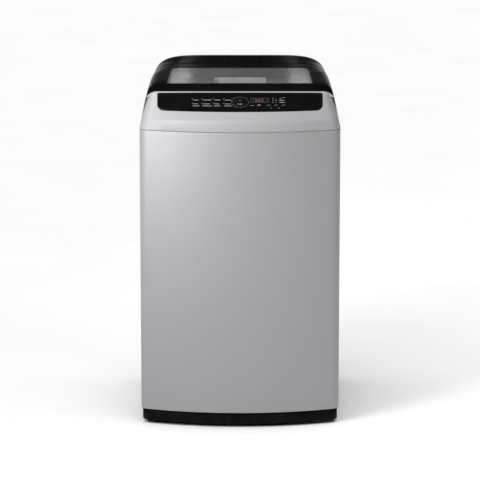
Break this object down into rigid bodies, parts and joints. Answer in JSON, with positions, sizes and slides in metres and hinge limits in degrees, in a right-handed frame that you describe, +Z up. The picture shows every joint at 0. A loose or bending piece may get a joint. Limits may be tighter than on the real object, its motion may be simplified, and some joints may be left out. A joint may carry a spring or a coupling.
{
  "type": "top load washing machine",
  "caption": "Top-loading washing machine: silver cabinet, sloped black control fascia, hinged lid with smoked window, sprung tub, perforated basket, pulsator and belt drive.",
  "frame": {"origin": "on the floor, at the middle of the plan of the whole machine, rear outlets included", "axes": "+X to the right as seen by a user standing in front, +Y towards the rear, +Z up"},
  "size_m": [0.535, 0.56, 0.9385],
  "materials": {
    "cabinet_paint": "fine metallic silver-grey paint, satin",
    "cover_silver": "silver-grey painted plastic, satin gloss",
    "galvanised": "zinc-coated sheet, satin",
    "bright_steel": "bright zinc-plated steel",
    "base_black": "black textured plastic",
    "foot_rubber": "black rubber",
    "deck_black": "high-gloss black plastic",
    "fascia_black": "gloss black film",
    "display_smoke": "smoked display window",
    "board_green": "circuit board with solder mask",
    "box_white": "off-white moulded plastic",
    "key_black": "gloss black keys",
    "window_smoke": "smoke-tinted clear panel",
    "drawer_grey": "pale grey moulded plastic",
    "black_parts": "black moulded plastic",
    "hose_rubber": "black rubber",
    "tub_plastic": "pale grey polypropylene",
    "stainless": "brushed stainless sheet",
    "ring_grey": "light grey moulded plastic",
    "pulsator_grey": "light blue-grey moulded plastic",
    "cast_alloy": "die-cast aluminium",
    "motor_grey": "grey lacquered laminations and end shields"
  },
  "bodies": {
    "housing": {"cabinet": "cabinet_paint", "rear_panel": "galvanised", "rear_screws": "bright_steel", "base_frame": "base_black", "feet_rear": "foot_rubber", "top_cover": "cover_silver", "rear_deck": "deck_black", "control_panel": "fascia_black", "display_window": "display_smoke", "display_board": "board_green", "control_box": "box_white", "hinge_brackets": "base_black", "lid_switch": "box_white", "water_valve": "box_white", "inlet_duct": "hose_rubber", "dispenser_box": "box_white", "level_sensor": "black_parts", "level_hose": "hose_rubber", "suspension_brackets": "galvanised", "suspension_rods": "bright_steel", "suspension_springs": "bright_steel", "capacitor": "box_white", "cord_gland": "black_parts", "drain_pipe": "black_parts", "drain_bellows": "hose_rubber"},
    "lid": {"lid_frame": "deck_black", "lid_window": "window_smoke", "hinge_pins": "bright_steel", "lid_bumpers": "foot_rubber"},
    "drawer": {"detergent_drawer": "drawer_grey"},
    "tub": {"outer_tub": "tub_plastic", "tub_cover": "tub_plastic", "tub_seal": "hose_rubber", "damper_cups": "black_parts", "drive_bracket": "galvanised", "gear_case": "cast_alloy", "brake_lever": "galvanised", "motor": "motor_grey", "drive_belt": "hose_rubber", "drain_valve": "box_white", "drain_actuator": "black_parts"},
    "wash_basket": {"basket": "stainless", "balance_ring": "ring_grey", "basket_base": "ring_grey", "lint_filters": "ring_grey", "spin_tube": "bright_steel"},
    "pulsator_unit": {"pulsator": "pulsator_grey", "pulsator_shaft": "bright_steel", "pulsator_screw": "bright_steel"},
    "pulley": {"drive_pulley": "cast_alloy"},
    "rotor": {"motor_shaft": "bright_steel", "motor_pulley": "bright_steel"},
    "left_foot": {"foot_left": "foot_rubber"},
    "right_foot": {"foot_right": "foot_rubber"},
    "power_button": {"power_key": "key_black"},
    "start_button": {"start_key": "key_black"},
    "option_button": {"option_key": "key_black"},
    "wash_button": {"wash_key": "key_black"},
    "rinse_button": {"rinse_key": "key_black"},
    "spin_button": {"spin_key": "key_black"}
  },
  "joints": [
    {"name": "lid_hinge", "type": "hinge", "parent": "housing", "child": "lid", "pos_m": [0, 0.122, 0.919], "axis": [-1, 0, 0], "range_deg": [0, 98]},
    {"name": "drawer_slide", "type": "slide", "parent": "housing", "child": "drawer", "axis": [0, -1, 0], "range_m": [0, 0.095]},
    {"name": "tub_bounce", "type": "slide", "parent": "housing", "child": "tub", "axis": [0, 0, 1], "range_m": [-0.02, 0.014], "stiffness_N_per_m": 16000, "springref_m": 0.01616, "deforming": ["suspension_springs", "level_hose", "drain_bellows"]},
    {"name": "basket_spin", "type": "hinge", "parent": "tub", "child": "wash_basket", "pos_m": [0, -0.008, 0.213], "axis": [0, 0, 1], "continuous": true},
    {"name": "motor_spin", "type": "hinge", "parent": "tub", "child": "rotor", "pos_m": [-0.135, -0.088, 0.13], "axis": [0, 0, 1], "continuous": true},
    {"name": "pulley_spin", "type": "hinge", "parent": "tub", "child": "pulley", "pos_m": [0, -0.008, 0.087], "axis": [0, 0, 1], "continuous": true},
    {"name": "pulsator_spin", "type": "hinge", "parent": "tub", "child": "pulsator_unit", "pos_m": [0, -0.008, 0.25], "axis": [0, 0, 1], "continuous": true},
    {"name": "left_foot_screw", "type": "slide", "parent": "housing", "child": "left_foot", "axis": [0, 0, -1], "range_m": [0, 0.012]},
    {"name": "right_foot_screw", "type": "slide", "parent": "housing", "child": "right_foot", "axis": [0, 0, -1], "range_m": [0, 0.012]},
    {"name": "power_press", "type": "slide", "parent": "housing", "child": "power_button", "axis": [0, 0.65, -0.7599], "range_m": [0, 0.001], "stiffness_N_per_m": 400, "springref_m": -0.001},
    {"name": "start_press", "type": "slide", "parent": "housing", "child": "start_button", "axis": [0, 0.65, -0.7599], "range_m": [0, 0.001], "stiffness_N_per_m": 400, "springref_m": -0.001},
    {"name": "option_press", "type": "slide", "parent": "housing", "child": "option_button", "axis": [0, 0.65, -0.7599], "range_m": [0, 0.001], "stiffness_N_per_m": 400, "springref_m": -0.001},
    {"name": "wash_press", "type": "slide", "parent": "housing", "child": "wash_button", "axis": [0, 0.65, -0.7599], "range_m": [0, 0.001], "stiffness_N_per_m": 400, "springref_m": -0.001},
    {"name": "rinse_press", "type": "slide", "parent": "housing", "child": "rinse_button", "axis": [0, 0.65, -0.7599], "range_m": [0, 0.001], "stiffness_N_per_m": 400, "springref_m": -0.001},
    {"name": "spin_press", "type": "slide", "parent": "housing", "child": "spin_button", "axis": [0, 0.65, -0.7599], "range_m": [0, 0.001], "stiffness_N_per_m": 400, "springref_m": -0.001}
  ],
  "couplings": [
    {"joint": "pulley_spin", "follows": "motor_spin", "ratio": 0.21277},
    {"joint": "pulsator_spin", "follows": "motor_spin", "ratio": 0.040917}
  ]
}
